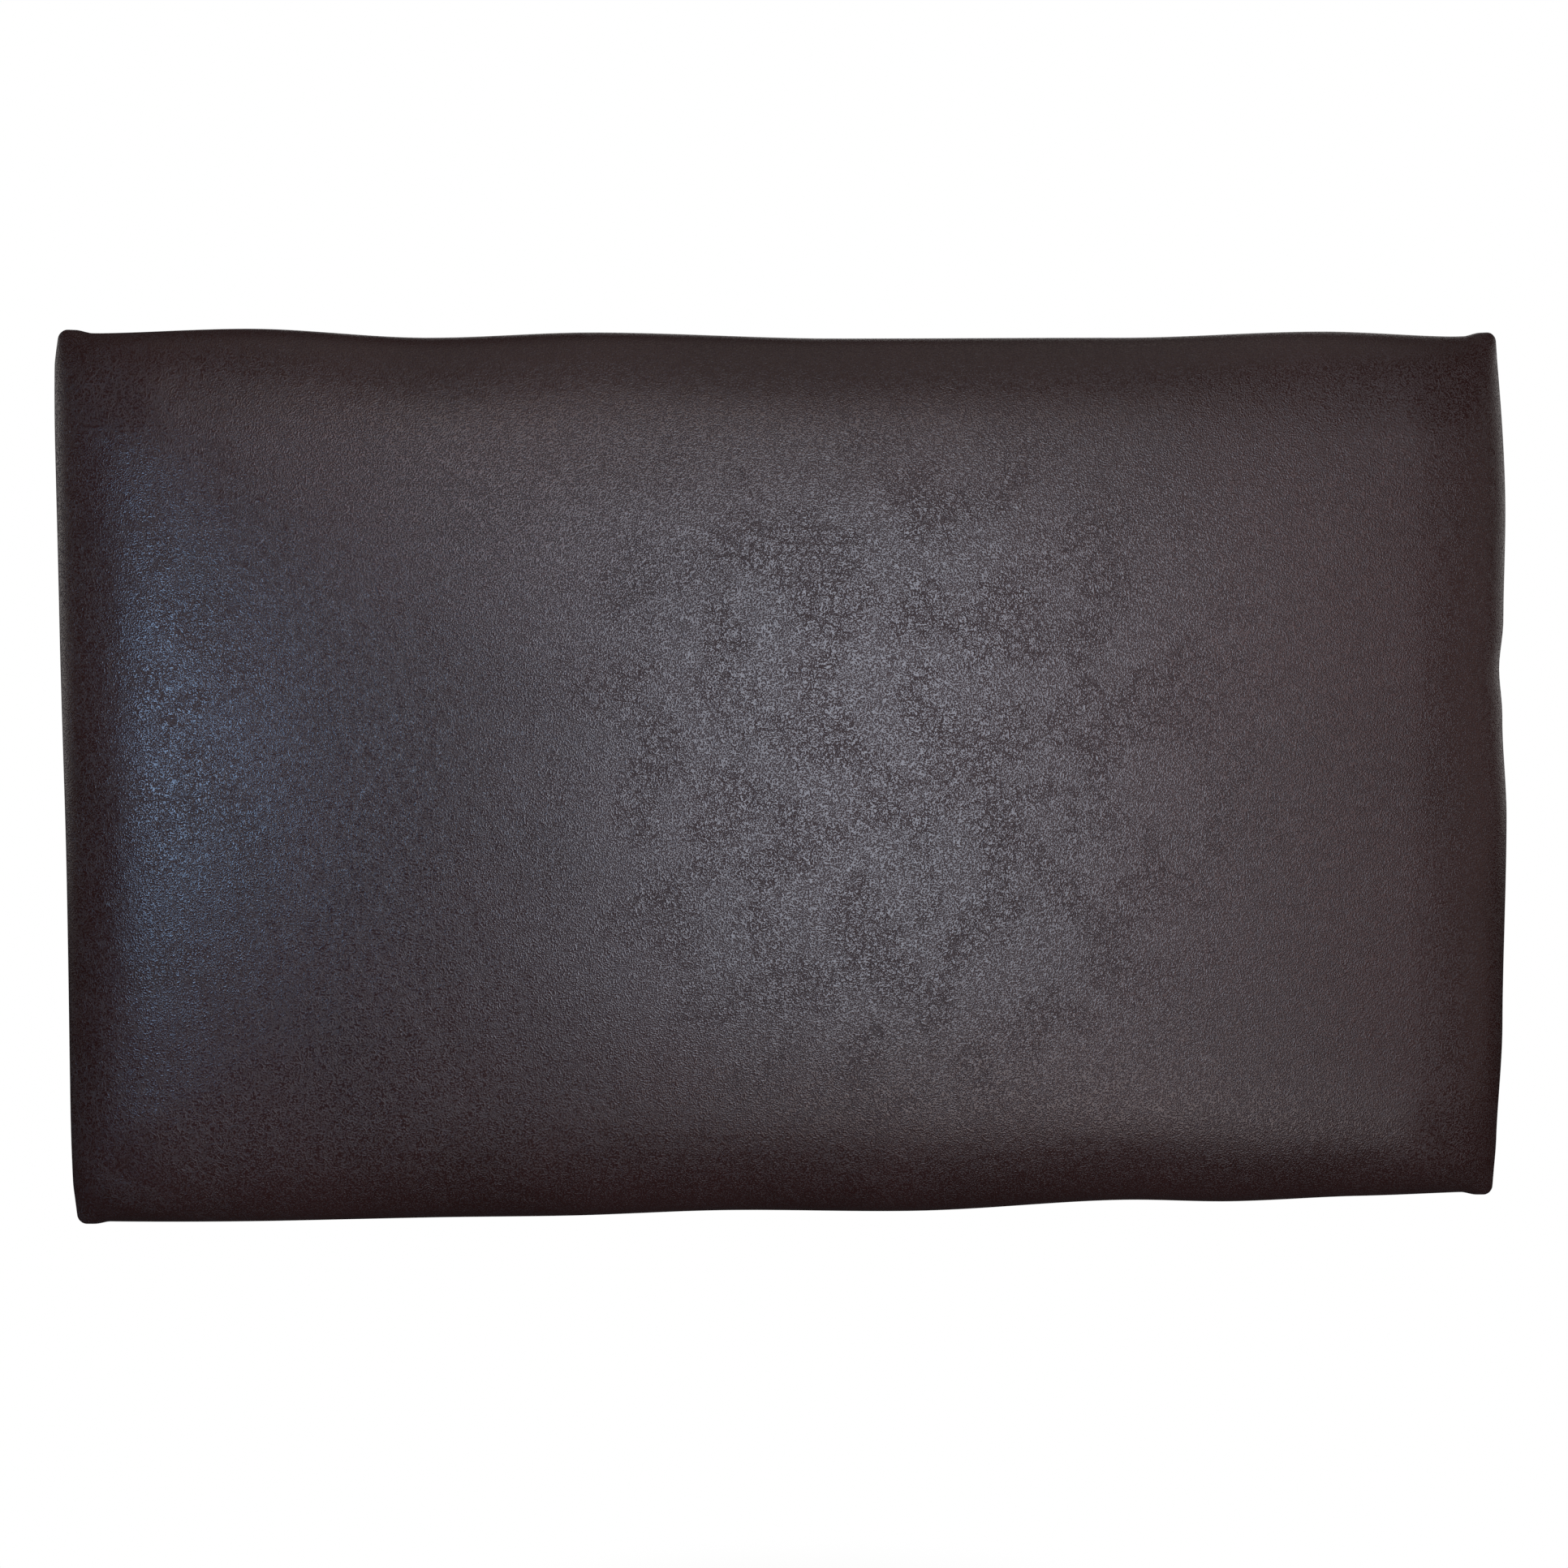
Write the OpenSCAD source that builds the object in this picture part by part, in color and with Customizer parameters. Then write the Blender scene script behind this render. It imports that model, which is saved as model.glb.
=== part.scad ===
// Padded wall board for punching practice, hung on two pairs of hook rails.
// Units are millimetres. +Z is up, the wall is the plane y = 0 and the padded face looks along -Y.
// A "depth" is a distance out from the wall, so a point at depth d has y = -d.

/* [Pad] */
// Width over the cover
pad_w = 600; // [400:10:900]
// Height over the cover
pad_h = 367; // [280:1:600]
// Radius of the rolled front edge
roll_r = 26; // [16:1:36]
// Rise of the face from its rolled edge to its middle
crown = 7; // [2:1:14]
// Radius of the cover's upright corners
corner_r = 3; // [2:0.5:6]

/* [Layers] */
// Plywood board
board_t = 12; // [9:1:18]
// Firm closed-cell foam on the board
base_t = 16; // [10:1:30]
// Faux leather of the cover
cover_t = 1.2; // [0.8:0.1:2]
// Soft strips that round off the edges of the board and the firm foam
strip_t = 3; // [2:0.5:5]
// Width of the cover's hem on the back of the board
hem_w = 36; // [25:1:45]

/* [Hanging rails] */
// Length of each rail
rail_len = 460; // [300:10:560]
// Thickness of the rail's aluminium
rail_t = 2; // [1.5:0.5:3]
// Height of the flange that is screwed down
flange_h = 20; // [16:1:26]
// How far a panel rail's hook reaches down behind a wall rail's hook
hook_h = 11; // [8:1:16]
// Distance between the wall screws along a rail, two wall studs apart
wall_hole_x = 406; // [300:1:420]
// Height between the wall screws of the two wall rails
wall_hole_z = 180; // [120:1:200]
// Diameter of the wall screw holes
wall_hole_d = 5.5; // [4:0.5:7]
// Distance between the bolts that hold a panel rail
bolt_pitch = 180; // [100:5:200]

/* [Bumpers and staples] */
// Diameter of a rubber bumper where it meets the board
bumper_d = 20; // [14:1:24]
// Distance of the bumpers from the pad's middle, sideways
bumper_x = 250; // [150:1:256]
// Distance of the bumpers from the pad's middle, up and down
bumper_z = 133; // [80:1:136]
// Aimed distance between staples
staple_pitch = 40; // [25:1:60]

/* [Hidden] */
$fn = 48;
skin_gap = 0.2;
// How far a cutter reaches out of the solid it cuts.
cut = 1;

// The hook channel, from the wall outwards: gap, panel hook, gap, wall hook, gap, board.
hook_wall_gap = 1;
hook_gap = 0.5;
// Play between the bottom of the wall rail's channel and the tip of the panel hook in it.
hook_tip_gap = 1;
panel_hook_d = hook_wall_gap;
wall_hook_d = panel_hook_d + rail_t + hook_gap;
board_d = wall_hook_d + rail_t + hook_wall_gap;

base_d = board_d + board_t;
foam_d = base_d + base_t;
roll_d = foam_d + 0.5;
hem_d = board_d - cover_t;

// Each deeper layer of the soft stack follows the cover's outer skin at one of these distances.
lining = cover_t;
filling = lining + skin_gap;
hard_edge = filling + strip_t + skin_gap;
board_w = pad_w - 2 * hard_edge;
board_h = pad_h - 2 * hard_edge;

// The padded face is drawn as rings round the pad, from its flat middle to its rolled edge.
corner_steps = 6;
corner_growth = 1.2;
face_r = corner_r + corner_growth * roll_r;
middle_inset = pad_h / 2 - face_r;
crown_steps = [1, 0.75, 0.5, 0.25, 0];
roll_steps = [67.5, 45, 22.5, 0];
wadding_rim = roll_steps[0];

// Heights on a rail are counted from its wall screws.
rail_z = [wall_hole_z / 2, -wall_hole_z / 2];
hook_foot = flange_h / 2 - hook_tip_gap;
hook_top = hook_foot + rail_t + hook_tip_gap + hook_h;
bolt_z = hook_top + rail_t + flange_h / 2;
tip = 0.5;

edge_strip_x = pad_w / 2 - filling - strip_t / 2;
edge_strip_z = pad_h / 2 - filling - strip_t / 2;

bolt_r = 2.5;
bolt_hole_r = bolt_r + 0.25;
washer_hole_gap = 0.15;
thread_gap = 0.05;
bolt_len = 12;
washer_t = 1;
tee_barrel_r = 3.2;
tee_barrel_len = 9;
tee_flange_r = 8.5;
tee_flange_t = 1.2;
tee_prong_len = 5;
tee_prong_w = 1.6;
tee_prong_t = 0.9;
tee_gap = 0.1;

bumper_wall_gap = 0.2;
bumper_seat = 3.6;
bumper_screw_r = 2;
bumper_screw_len = 14;
bumper_head_h = 2.2;
bumper_washer_t = 0.8;

staple_crown = 11;
staple_leg = 10;
staple_wire_w = 1.2;
staple_wire_t = 0.7;
staple_inset = 24;
staple_corner_free = 50;

// ---- Shapes in the wall's frame -------------------------------------------------------------

// Moves flat work drawn on the plane z = 0 to the depth it starts at, facing away from the wall.
module from_depth(depth) {
    translate([0, -depth, 0])
        rotate([90, 0, 0])
            children();
}

module rod(r, from, to) {
    from_depth(from)
        cylinder(r = r, h = to - from);
}

module rounded_rect(w, h, r) {
    square([w - 2 * r, h], center = true);
    square([w, h - 2 * r], center = true);
    for (x = [-1, 1], y = [-1, 1])
        translate([x * (w / 2 - r), y * (h / 2 - r)])
            circle(r);
}

module slab(w, h, r, from, to) {
    from_depth(from)
        linear_extrude(to - from)
            rounded_rect(w, h, r);
}

// A solid of revolution about the line that points away from the wall. The profile's points are [radius, depth].
module turned(profile) {
    from_depth(0)
        rotate_extrude()
            polygon(profile);
}

// Draws a rail's section, given as [depth, height] points, along the whole rail.
module rail_bar(section) {
    rotate([90, 0, 90])
        linear_extrude(rail_len, center = true)
            polygon([for (p = section) [-p[0], p[1]]]);
}

// ---- Rings of the padded face ----------------------------------------------------------------

// One ring: a rounded rectangle, inset from the pad's outline, at one depth.
function ring(inset, r, depth) =
    let (
        half_w = pad_w / 2 - inset,
        half_h = pad_h / 2 - inset,
        bend = min(r, half_h - 0.5)
    )
    [
        for (corner = [0:3], i = [0:corner_steps])
            let (
                a = 90 * (corner + i / corner_steps),
                side_x = (corner == 0 || corner == 3) ? 1 : -1,
                side_z = corner < 2 ? 1 : -1
            )
            [
                side_x * (half_w - bend) + bend * cos(a),
                -depth,
                side_z * (half_h - bend) + bend * sin(a)
            ]
    ];

// Corner radius of the skin that lies a distance in from the cover's outer skin.
function skin_bend(skin, inset) =
    corner_r - skin + corner_growth * (min(inset, roll_r) - skin);

function side_ring(skin, depth) = ring(skin, corner_r - skin, depth);

function roll_ring(skin, a) =
    let (r = roll_r - skin, inset = skin + r * (1 - cos(a)))
    ring(inset, skin_bend(skin, inset), roll_d + r * sin(a));

function crown_ring(skin, u) =
    let (inset = roll_r + u * (middle_inset - roll_r))
    ring(inset, skin_bend(skin, inset), roll_d + roll_r - skin + crown * (1 - pow(1 - u, 2)));

function crown_rings(skin) = [for (u = crown_steps) crown_ring(skin, u)];

function roll_rings(skin) = [for (a = roll_steps) roll_ring(skin, a)];

// Joins rings into one closed solid, with a flat cap on the first ring and one on the last.
module loft(rings) {
    n = len(rings[0]);
    last = len(rings) - 1;
    polyhedron(
        points = [for (r = rings, p = r) p],
        faces = [
            [for (i = [n - 1:-1:0]) i],
            for (j = [0:last - 1], i = [0:n - 1])
                let (k = (i + 1) % n)
                each [
                    [j * n + i, j * n + k, (j + 1) * n + k],
                    [j * n + i, (j + 1) * n + k, (j + 1) * n + i]
                ],
            [for (i = [0:n - 1]) last * n + i]
        ]
    );
}

// ---- Rails on the wall and on the board -------------------------------------------------------

// Flange below, hook pointing up.
module wall_rail(z) {
    color("silver")
        translate([0, 0, z])
            difference() {
                rail_bar([
                    [0, -flange_h / 2],
                    [0, hook_foot + rail_t],
                    [wall_hook_d, hook_foot + rail_t],
                    [wall_hook_d, hook_top - tip],
                    [wall_hook_d + tip, hook_top],
                    [wall_hook_d + rail_t - tip, hook_top],
                    [wall_hook_d + rail_t, hook_top - tip],
                    [wall_hook_d + rail_t, hook_foot + tip],
                    [wall_hook_d + rail_t - tip, hook_foot],
                    [rail_t, hook_foot],
                    [rail_t, tip - flange_h / 2],
                    [rail_t - tip, -flange_h / 2]
                ]);
                for (x = [-1, 1])
                    translate([x * wall_hole_x / 2, 0, 0])
                        rod(wall_hole_d / 2, -cut, rail_t + cut);
            }
}

// Flange above, hook pointing down into the channel behind the wall rail's hook.
module panel_rail(z) {
    flange_d = board_d - rail_t;
    color("gainsboro")
        translate([0, 0, z])
            difference() {
                rail_bar([
                    [panel_hook_d + tip, hook_top - hook_h],
                    [panel_hook_d, hook_top - hook_h + tip],
                    [panel_hook_d, hook_top + rail_t - tip],
                    [panel_hook_d + tip, hook_top + rail_t],
                    [flange_d, hook_top + rail_t],
                    [flange_d, hook_top + rail_t + flange_h - tip],
                    [flange_d + tip, hook_top + rail_t + flange_h],
                    [board_d, hook_top + rail_t + flange_h],
                    [board_d, hook_top],
                    [panel_hook_d + rail_t, hook_top],
                    [panel_hook_d + rail_t, hook_top - hook_h + tip],
                    [panel_hook_d + rail_t - tip, hook_top - hook_h]
                ]);
                for (i = [-1:1])
                    translate([i * bolt_pitch, 0, bolt_z])
                        rod(bolt_hole_r, flange_d - cut, board_d + cut);
            }
}

module at_bolts() {
    for (z = rail_z, i = [-1:1])
        translate([i * bolt_pitch, 0, z + bolt_z])
            children();
}

module rail_bolts() {
    head_d = board_d - rail_t - washer_t;
    head_r = 4.75;
    head_h = 2.75;
    shank = bolt_r - thread_gap;
    socket_r = 1.75;
    socket_depth = 1.6;
    color("dimgray")
        at_bolts()
            difference() {
                turned([
                    [0, head_d - head_h],
                    [2.6, head_d - head_h],
                    [3.9, head_d - head_h + 0.8],
                    [head_r, head_d - 0.7],
                    [head_r, head_d],
                    [shank, head_d],
                    [shank, head_d + bolt_len - 0.6],
                    [shank - 0.6, head_d + bolt_len],
                    [0, head_d + bolt_len]
                ]);
                from_depth(head_d - head_h - cut)
                    cylinder(r = socket_r, h = cut + socket_depth, $fn = 6);
            }
}

module rail_washers() {
    washer_d = board_d - rail_t - washer_t;
    color("lightsteelblue")
        at_bolts()
            difference() {
                rod(5, washer_d, washer_d + washer_t);
                rod(bolt_r + washer_hole_gap, washer_d - cut, washer_d + washer_t + cut);
            }
}

// Pressed into the front of the board, so the flange lies flush under the firm foam.
module tee_nuts() {
    color("slategray")
        at_bolts() {
            difference() {
                union() {
                    rod(tee_barrel_r, base_d - tee_barrel_len, base_d);
                    rod(tee_flange_r, base_d - tee_flange_t, base_d);
                    for (a = [0:90:270])
                        rotate([0, a, 0])
                            translate([tee_flange_r - 1.5, -base_d + tee_flange_t / 2, -tee_prong_w / 2])
                                cube([tee_prong_t, tee_prong_len, tee_prong_w]);
                }
                rod(bolt_r + thread_gap, base_d - tee_barrel_len - cut, base_d + cut);
            }
        }
}

// ---- Board and soft layers --------------------------------------------------------------------

module backing_board() {
    color("burlywood")
        difference() {
            slab(board_w, board_h, 2, board_d, base_d);
            at_bolts() {
                rod(tee_barrel_r + tee_gap, board_d - cut, base_d + cut);
                rod(tee_flange_r + 2 * tee_gap, base_d - tee_flange_t - tee_gap / 2, base_d + cut);
            }
        }
}

module base_foam() {
    color("darkslategray")
        slab(board_w, board_h, 2, base_d, foam_d);
}

module strike_foam() {
    color("khaki")
        loft([each roll_rings(filling), side_ring(filling, foam_d)]);
}

module face_wadding() {
    color("white")
        loft([each crown_rings(filling), roll_ring(filling, wadding_rim)]);
}

// One strip along an edge of the board and the firm foam. It stops short of the corners.
module edge_strip(along, x, z) {
    color("gray")
        translate([x, 0, z])
            from_depth(board_d)
                linear_extrude(foam_d - board_d - skin_gap)
                    square(along == "x" ? [board_w, strip_t] : [strip_t, board_h], center = true);
}

// One sheet: over the face, round the rolled edge, down the sides and onto the back as a hem.
module cover() {
    hem_bend = 2;
    color("saddlebrown")
        loft([
            each crown_rings(0),
            each roll_rings(0),
            side_ring(0, hem_d + cover_t),
            ring(cover_t, corner_r - cover_t, hem_d),
            ring(hem_w, hem_bend, hem_d),
            ring(hem_w, hem_bend, board_d),
            side_ring(lining, board_d),
            for (i = [len(roll_steps) - 1:-1:0]) roll_ring(lining, roll_steps[i]),
            for (i = [len(crown_steps) - 1:-1:0]) crown_ring(lining, crown_steps[i])
        ]);
}

// ---- Staples ----------------------------------------------------------------------------------

// A staple driven through the hem. Its crown lies along X before it is turned.
module staple() {
    crown_d = hem_d - staple_wire_t;
    translate([-staple_crown / 2, -hem_d, -staple_wire_w / 2])
        cube([staple_crown, staple_wire_t, staple_wire_w]);
    for (x = [-1, 1])
        translate([x * (staple_crown - staple_wire_t) / 2, -crown_d - staple_leg, 0])
            translate([-staple_wire_t / 2, 0, -staple_wire_w / 2])
                cube([staple_wire_t, staple_leg, staple_wire_w]);
}

module staple_row(length, edge) {
    free = length - 2 * staple_corner_free;
    gaps = ceil(free / staple_pitch);
    for (i = [0:gaps], side = [-1, 1])
        translate([-free / 2 + i * free / gaps, 0, side * (edge - staple_inset)])
            staple();
}

module cover_staples() {
    color("lightgray") {
        staple_row(pad_w, pad_h / 2);
        rotate([0, 90, 0])
            staple_row(pad_h, pad_w / 2);
        for (x = [-1, 1], z = [-1, 1])
            translate([x * (pad_w / 2 - staple_inset), 0, z * (pad_h / 2 - staple_inset)])
                rotate([0, 45 * x * z, 0])
                    staple();
    }
}

// ---- Bumpers ----------------------------------------------------------------------------------

module bumper(x, z) {
    foot_r = bumper_d / 2;
    recess_r = 5.2;
    screw_hole_r = bumper_screw_r + 0.2;
    color("black")
        translate([x * bumper_x, 0, z * bumper_z])
            turned([
                [screw_hole_r, board_d],
                [foot_r, board_d],
                [foot_r, board_d - 1.5],
                [foot_r - 1, bumper_wall_gap + 1],
                [foot_r - 2, bumper_wall_gap],
                [recess_r + 0.6, bumper_wall_gap],
                [recess_r, bumper_wall_gap + 0.6],
                [recess_r, bumper_seat],
                [screw_hole_r, bumper_seat]
            ]);
}

module at_bumpers() {
    for (x = [-1, 1], z = [-1, 1])
        translate([x * bumper_x, 0, z * bumper_z])
            children();
}

module bumper_washers() {
    washer_d = bumper_seat - bumper_washer_t;
    color("silver")
        at_bumpers()
            difference() {
                rod(4.5, washer_d, bumper_seat);
                rod(bumper_screw_r + washer_hole_gap, washer_d - cut, bumper_seat + cut);
            }
}

module bumper_screws() {
    head_d = bumper_seat - bumper_washer_t;
    head_r = 3.8;
    slot_depth = 1.4;
    slot_len = 4;
    slot_w = 0.9;
    color("gold")
        at_bumpers()
            difference() {
                turned([
                    [0, head_d - bumper_head_h],
                    [head_r - 1.4, head_d - bumper_head_h],
                    [head_r - 0.3, head_d - 1.3],
                    [head_r, head_d - 0.6],
                    [head_r, head_d],
                    [bumper_screw_r, head_d],
                    [bumper_screw_r, head_d + bumper_screw_len - 4],
                    [0, head_d + bumper_screw_len]
                ]);
                for (a = [0, 90])
                    rotate([0, a, 0])
                        translate([-slot_len / 2, -head_d + bumper_head_h - slot_depth, -slot_w / 2])
                            cube([slot_len, slot_depth + cut, slot_w]);
            }
}

// ---- Which nodes are built --------------------------------------------------------------------

wall_rail(rail_z[0]);  // wall_rail_top
wall_rail(rail_z[1]);  // wall_rail_bottom
panel_rail(rail_z[0]);  // panel_rail_top
panel_rail(rail_z[1]);  // panel_rail_bottom
rail_bolts();
rail_washers();
tee_nuts();
backing_board();
base_foam();
strike_foam();
face_wadding();
edge_strip("x", 0, edge_strip_z);  // edge_strip_top
edge_strip("x", 0, -edge_strip_z);  // edge_strip_bottom
edge_strip("z", -edge_strip_x, 0);  // edge_strip_left
edge_strip("z", edge_strip_x, 0);  // edge_strip_right
cover();
cover_staples();
bumper(-1, 1);  // bumper_top_left
bumper(1, 1);  // bumper_top_right
bumper(-1, -1);  // bumper_bottom_left
bumper(1, -1);  // bumper_bottom_right
bumper_washers();
bumper_screws();
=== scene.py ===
"""The looks of the wall punch pad: faux leather over foam on a plywood board, hung on hook rails.

Everything is in metres, in the CAD frame: +Z is up, the wall is the plane y = 0 and the face looks along -Y.
A "depth" is a distance out from the wall, so a point at depth d has y = -d. An "inset" is a distance in from
the pad's outline.
"""

import math

import bpy
import numpy as np
from mathutils import Euler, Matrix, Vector, noise


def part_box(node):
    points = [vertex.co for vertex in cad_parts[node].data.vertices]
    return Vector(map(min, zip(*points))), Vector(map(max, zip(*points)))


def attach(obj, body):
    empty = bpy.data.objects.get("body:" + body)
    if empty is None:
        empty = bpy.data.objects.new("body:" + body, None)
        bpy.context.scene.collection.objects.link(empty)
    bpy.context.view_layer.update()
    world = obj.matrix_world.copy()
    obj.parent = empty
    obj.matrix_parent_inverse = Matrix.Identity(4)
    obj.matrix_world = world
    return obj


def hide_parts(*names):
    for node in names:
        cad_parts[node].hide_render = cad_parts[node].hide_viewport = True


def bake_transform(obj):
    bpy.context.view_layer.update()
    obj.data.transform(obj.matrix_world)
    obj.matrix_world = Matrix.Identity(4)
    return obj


MM = 0.001
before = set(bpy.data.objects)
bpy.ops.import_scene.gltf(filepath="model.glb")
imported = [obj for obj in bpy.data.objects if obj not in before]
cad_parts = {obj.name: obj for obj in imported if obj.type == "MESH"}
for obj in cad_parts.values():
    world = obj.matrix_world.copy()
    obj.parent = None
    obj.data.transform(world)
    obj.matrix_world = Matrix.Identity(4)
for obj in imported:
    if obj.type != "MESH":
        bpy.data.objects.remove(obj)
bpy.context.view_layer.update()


# ---- Sizes, from the frame ---------------------------------------------------------------------

COVER_LOW, COVER_HIGH = (Vector(c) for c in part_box("cover"))
PAD_W = COVER_HIGH.x - COVER_LOW.x
PAD_H = COVER_HIGH.z - COVER_LOW.z
FACE_DEPTH = -COVER_LOW.y
HEM_DEPTH = -COVER_HIGH.y
BOARD_DEPTH = -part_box("backing_board")[1][1]
FOAM_DEPTH = -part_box("strike_foam")[1][1]
WADDING_DEPTH = -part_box("face_wadding")[1][1]
COVER_T = BOARD_DEPTH - HEM_DEPTH

ROLL_DEPTH = FOAM_DEPTH + 0.5 * MM
ROLL_RISE = 23.5 * MM
ROLL_WIDTH = 50 * MM
ROLL_POWER = 2.1
CROWN = FACE_DEPTH - ROLL_DEPTH - ROLL_RISE
CROWN_POWER = 2.5
CORNER_R = 4 * MM
BACK_EDGE_R = 1.5 * MM
HEM_WIDTH = 36 * MM
# How far inside the cover's outer skin the soft filling ends.
FILLING_INSET = 3.2 * MM
# The gap left between soft layers that lie on each other.
LAYER_GAP = 0.1 * MM
WADDING_CORNER_R = 60 * MM


# ---- Camera ------------------------------------------------------------------------------------

CAMERA_FOV = math.radians(55)
# How the pad is turned as the camera sees it, and where the middle of its outline is, in pad widths.
SEEN_TILT = (1.575, 2.235, 0.565)
SEEN_AT = (0.007, 0.007, 1.057)


def add_camera():
    """Puts the camera where it sees the pad turned by SEEN_TILT, with the pad's outline SEEN_AT from it."""
    x_turn, y_turn, z_turn = (math.radians(a) for a in SEEN_TILT)
    upright = Euler((-math.pi / 2, 0, 0)).to_matrix()
    turn = (
        Euler((0, 0, z_turn)).to_matrix()
        @ Euler((0, y_turn, 0)).to_matrix()
        @ Euler((x_turn, 0, 0)).to_matrix()
        @ upright
    )
    outline_in_camera = Vector((SEEN_AT[0], SEEN_AT[1], -SEEN_AT[2])) * PAD_W
    to_pad = turn.transposed()
    camera = bpy.data.objects.new("camera", bpy.data.cameras.new("camera"))
    camera.data.sensor_fit = "HORIZONTAL"
    camera.data.angle = CAMERA_FOV
    camera.data.clip_start = 0.01
    place = to_pad.to_4x4()
    place.translation = Vector((0, -ROLL_DEPTH, 0)) - to_pad @ outline_in_camera
    camera.matrix_world = place
    bpy.context.collection.objects.link(camera)
    bpy.context.scene.camera = camera


add_camera()


# ---- Curves and noise --------------------------------------------------------------------------


def smooth(value, low, high):
    """0 below low, 1 above high and a soft step between them. low may be the larger."""
    t = np.clip((value - low) / (high - low), 0, 1)
    return t * t * (3 - 2 * t)


def curve_through(knots, place):
    """Soft curve through given (place, height) knots."""
    at, height = np.array(knots, float).T
    k = np.clip(np.searchsorted(at, place) - 1, 0, len(at) - 2)
    t = smooth(place, at[k], at[k + 1])
    return height[k] * (1 - t) + height[k + 1] * t


def rough(points, wavelength, seed):
    """Smooth noise of about -1 to 1 at each point."""
    moved = np.asarray(points) / wavelength + seed * 17.3
    return np.array([noise.noise(p) for p in moved.tolist()])


# ---- The pad's skin ----------------------------------------------------------------------------

# Where the outline stands proud of a straight edge or dips in, in millimetres, along each edge from 0 to 1.
# The top and bottom run from the left, the sides from the top.
EDGE_WAVES = {
    "top": [(0, 0.5), (0.03, -0.1), (0.13, 1.6), (0.25, -2.0), (0.365, 0.4), (0.53, -2.0)]
    + [(0.73, -1.5), (0.875, 1.3), (0.965, -0.5), (1, 0.5)],
    "bottom": [(0, 0), (0.14, 0.9), (0.24, 0.8), (0.34, 1.3), (0.44, 0.3), (0.585, 2.4)]
    + [(0.73, -0.6), (0.81, 1.1), (0.9, -0.1), (0.97, -0.5), (1, 0)],
    "left": [(0, 0.2), (0.04, 1.5), (0.33, 1.2), (0.6, 0.5), (0.95, 1.2), (1, 0.2)],
    "right": [(0, 0.3), (0.21, 3.3), (0.33, 2.6), (0.385, 0.8), (0.44, 2.3), (0.56, 4.4)]
    + [(0.8, 3.0), (0.93, 0.9), (1, 0.3)],
}
WAVE_REACH = 42 * MM

# Cells of the cover's mesh across the face, down a side, round the back edge and along the hem.
FACE_CELLS_X, FACE_CELLS_Z = 220, 148
SIDE_CELLS, EDGE_CELLS, HEM_CELLS = 14, 3, 18
# The mesh is this many times finer at the pad's edges than in the middle, within this distance of them.
EDGE_FINENESS = 2.2
FINE_WITHIN = 60 * MM


def rolled_rise(inset):
    """Height of the rolled edge, from 0 at the outline to 1 where the face begins."""
    left = np.clip(1 - np.asarray(inset, float) / ROLL_WIDTH, 0, 1)
    return (1 - left**ROLL_POWER) ** (1 / ROLL_POWER)


def places_across(half, cells):
    """Places from -half to half, spaced evenly along the curve of the section but finer near the edges."""
    inset = half * np.linspace(0, 1, 4001) ** 3
    steps = np.hypot(np.diff(inset), ROLL_RISE * np.diff(rolled_rise(inset)))
    fineness = 1 + EDGE_FINENESS * smooth(inset[1:], FINE_WITHIN, 0)
    along = np.concatenate([[0], np.cumsum(steps * fineness)])
    at = np.linspace(0, 2 * along[-1], cells + 1)
    first = np.interp(np.minimum(at, 2 * along[-1] - at), along, inset)
    return np.where(at <= along[-1], first - half, half - first)


def rounded_outline(x, z, half_w, half_h, r):
    """Pulls points in the corner squares of a rectangle in to a rounded corner."""
    a = np.clip((np.abs(x) - (half_w - r)) / r, 0, 1)
    b = np.clip((np.abs(z) - (half_h - r)) / r, 0, 1)
    pull_x = r * a * (1 - np.sqrt(1 - b**2 / 2))
    pull_z = r * b * (1 - np.sqrt(1 - a**2 / 2))
    return x - np.sign(x) * pull_x, z - np.sign(z) * pull_z


def face_depth(x, z, inward=0.0):
    """Depth of the face and its rolled edges, moved inwards by a distance."""
    half_w, half_h = PAD_W / 2 - inward, PAD_H / 2 - inward
    rise = rolled_rise(half_w - np.abs(x)) * rolled_rise(half_h - np.abs(z))
    dome = (1 - np.abs(x / half_w) ** CROWN_POWER) * (1 - np.abs(z / half_h) ** CROWN_POWER)
    return ROLL_DEPTH + (ROLL_RISE - inward) * rise + CROWN * dome


def face_grid(cells_x, cells_z, inward=0.0):
    """The face and its rolled edges as a grid of points, moved inwards by a distance."""
    half_w, half_h = PAD_W / 2 - inward, PAD_H / 2 - inward
    x, z = np.meshgrid(places_across(half_w, cells_x), places_across(half_h, cells_z), indexing="ij")
    depth = face_depth(x, z, inward)
    x, z = rounded_outline(x, z, half_w, half_h, CORNER_R)
    return np.stack([x, -depth, z], axis=-1)


def with_waves(points):
    """Moves points of the skin or the filling in and out by the waves of the pad's edges."""
    x, y, z = points.reshape(-1, 3).T
    from_left = np.clip(x / PAD_W + 0.5, 0, 1)
    from_top = np.clip(0.5 - z / PAD_H, 0, 1)
    soft = 0.25 + 0.75 * smooth(-y, BOARD_DEPTH, FOAM_DEPTH)
    at_top = smooth(PAD_H / 2 - z, WAVE_REACH, 0) * soft
    at_bottom = smooth(PAD_H / 2 + z, WAVE_REACH, 0) * soft
    at_left = smooth(PAD_W / 2 + x, WAVE_REACH, 0) * soft
    at_right = smooth(PAD_W / 2 - x, WAVE_REACH, 0) * soft
    dz = at_top * curve_through(EDGE_WAVES["top"], from_left)
    dz -= at_bottom * curve_through(EDGE_WAVES["bottom"], from_left)
    dx = at_right * curve_through(EDGE_WAVES["right"], from_top)
    dx -= at_left * curve_through(EDGE_WAVES["left"], from_top)
    moved = np.stack([x + dx * MM, y, z + dz * MM], axis=-1)
    return moved.reshape(points.shape)


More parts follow.
